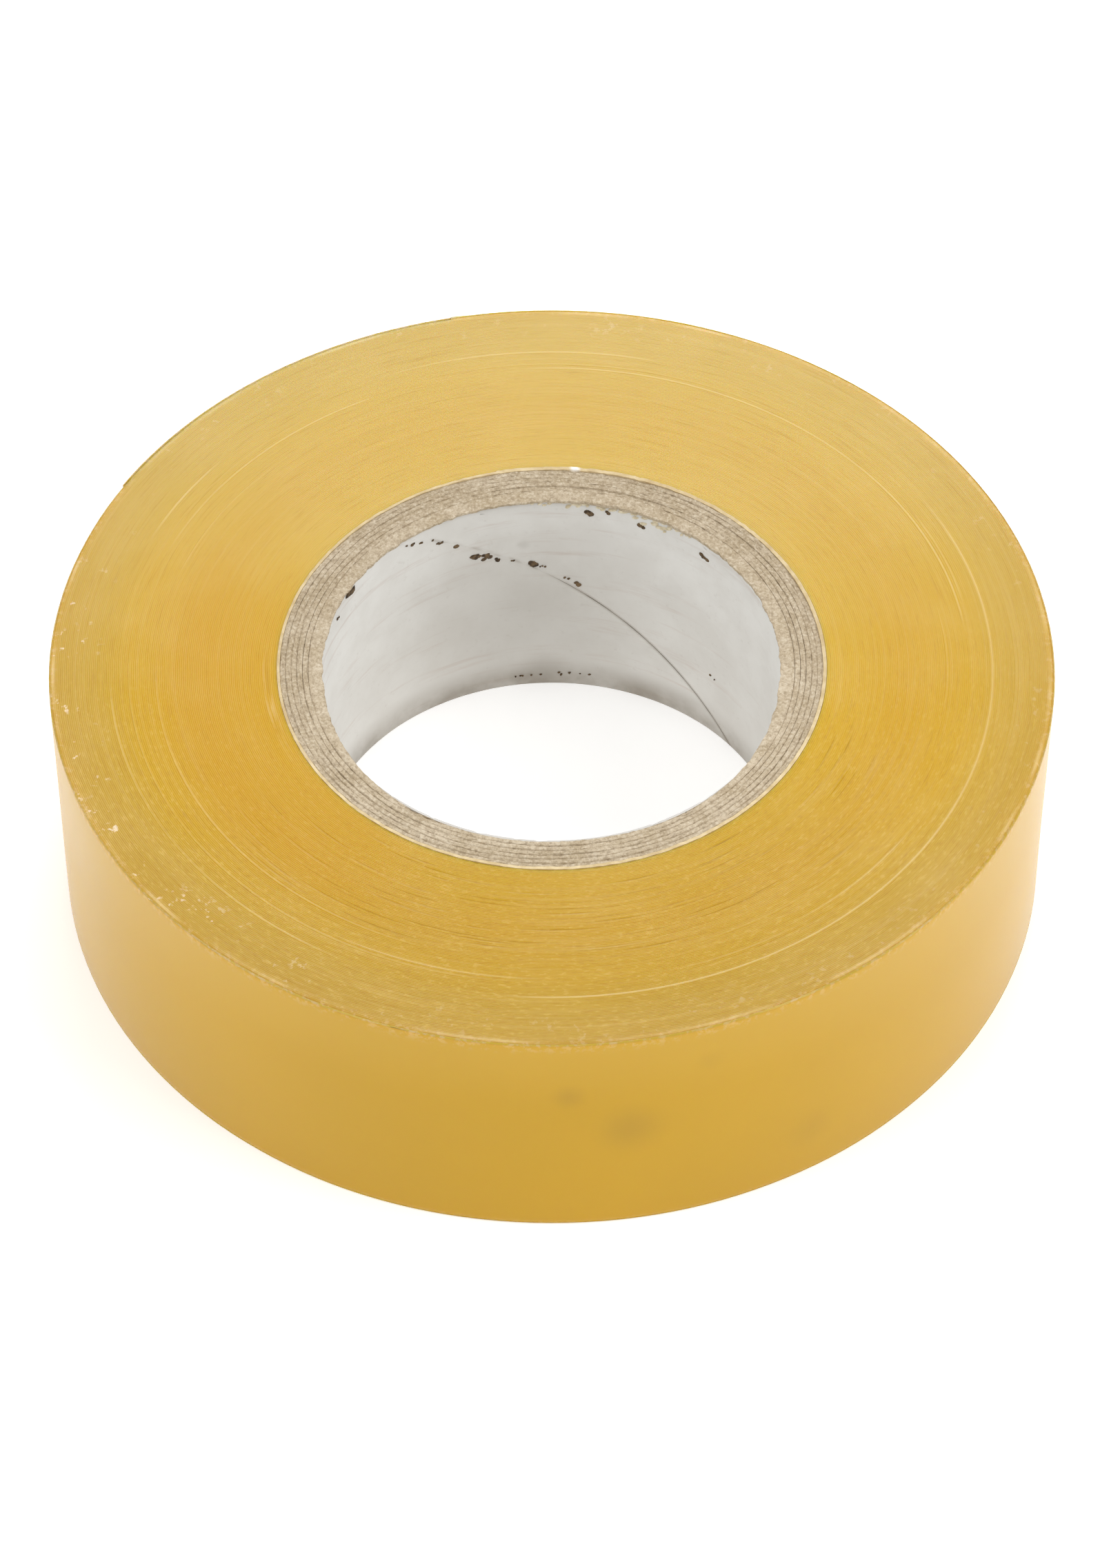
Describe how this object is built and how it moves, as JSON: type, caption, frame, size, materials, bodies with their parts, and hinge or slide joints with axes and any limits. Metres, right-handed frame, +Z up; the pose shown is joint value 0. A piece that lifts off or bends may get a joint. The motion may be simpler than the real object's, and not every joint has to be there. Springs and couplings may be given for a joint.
{
  "type": "electrical tape roll",
  "caption": "Roll of clear amber PVC electrical tape wound on a spiral paper core, with a free tape end that peels off the roll.",
  "frame": {"origin": "centre of the bore in the lower side face, which the roll rests on", "axes": "+Z up along the bore; the tape's free end lies 150 degrees round from +X"},
  "size_m": [0.0684, 0.0685, 0.019],
  "materials": {
    "tape_film": "translucent amber soft PVC film, satin gloss on the outside and fine winding lines on the sides",
    "core_board": "raw grey-brown board, cut edges with darker glue lines",
    "core_paper": "thin white lining paper, matt, slightly dusty, frayed at the seam"
  },
  "bodies": {
    "roll": {"core_liner": "core_paper", "core_board_ply_1": "core_board", "core_board_ply_2": "core_board", "core_board_ply_3": "core_board", "core_board_ply_4": "core_board", "core_board_ply_5": "core_board", "core_board_ply_6": "core_board", "core_outer_wrap": "core_paper", "tape_wound_pack": "tape_film", "tape_outer_turn": "tape_film"},
    "tail_1": {"tape_tail_1": "tape_film"},
    "tail_2": {"tape_tail_2": "tape_film"},
    "tail_3": {"tape_tail_3": "tape_film"},
    "tail_4": {"tape_tail_4": "tape_film"},
    "tail_5": {"tape_tail_5": "tape_film"},
    "tail_6": {"tape_tail_6": "tape_film"},
    "tail_7": {"tape_tail_7": "tape_film"},
    "tail_8": {"tape_tail_8": "tape_film"}
  },
  "joints": [
    {"name": "tail_peel", "type": "hinge", "parent": "roll", "child": "tail_1", "pos_m": [-0.00709, 0.03324, 0.0095], "axis": [0.0062, -0.0294, -0.9995], "range_deg": [0, 15]},
    {"name": "tail_curl_2", "type": "hinge", "parent": "tail_1", "child": "tail_2", "pos_m": [-0.01052, 0.03232, 0.0095], "axis": [0.0093, -0.0285, -0.9995], "range_deg": [0, 15]},
    {"name": "tail_curl_3", "type": "hinge", "parent": "tail_2", "child": "tail_3", "pos_m": [-0.01384, 0.03105, 0.0095], "axis": [0.0122, -0.0274, -0.9995], "range_deg": [0, 15]},
    {"name": "tail_curl_4", "type": "hinge", "parent": "tail_3", "child": "tail_4", "pos_m": [-0.01701, 0.02943, 0.0095], "axis": [0.015, -0.026, -0.9995], "range_deg": [0, 15]},
    {"name": "tail_curl_5", "type": "hinge", "parent": "tail_4", "child": "tail_5", "pos_m": [-0.01999, 0.0275, 0.0095], "axis": [0.0176, -0.0243, -0.9995], "range_deg": [0, 15]},
    {"name": "tail_curl_6", "type": "hinge", "parent": "tail_5", "child": "tail_6", "pos_m": [-0.02276, 0.02526, 0.0095], "axis": [0.0201, -0.0223, -0.9995], "range_deg": [0, 15]},
    {"name": "tail_curl_7", "type": "hinge", "parent": "tail_6", "child": "tail_7", "pos_m": [-0.02527, 0.02274, 0.0095], "axis": [0.0223, -0.0201, -0.9995], "range_deg": [0, 15]},
    {"name": "tail_curl_8", "type": "hinge", "parent": "tail_7", "child": "tail_8", "pos_m": [-0.02751, 0.01998, 0.0095], "axis": [0.0243, -0.0176, -0.9995], "range_deg": [0, 15]}
  ],
  "couplings": [
    {"joint": "tail_curl_2", "follows": "tail_peel", "ratio": 1},
    {"joint": "tail_curl_3", "follows": "tail_peel", "ratio": 1},
    {"joint": "tail_curl_4", "follows": "tail_peel", "ratio": 1},
    {"joint": "tail_curl_5", "follows": "tail_peel", "ratio": 1},
    {"joint": "tail_curl_6", "follows": "tail_peel", "ratio": 1},
    {"joint": "tail_curl_7", "follows": "tail_peel", "ratio": 1},
    {"joint": "tail_curl_8", "follows": "tail_peel", "ratio": 1}
  ]
}
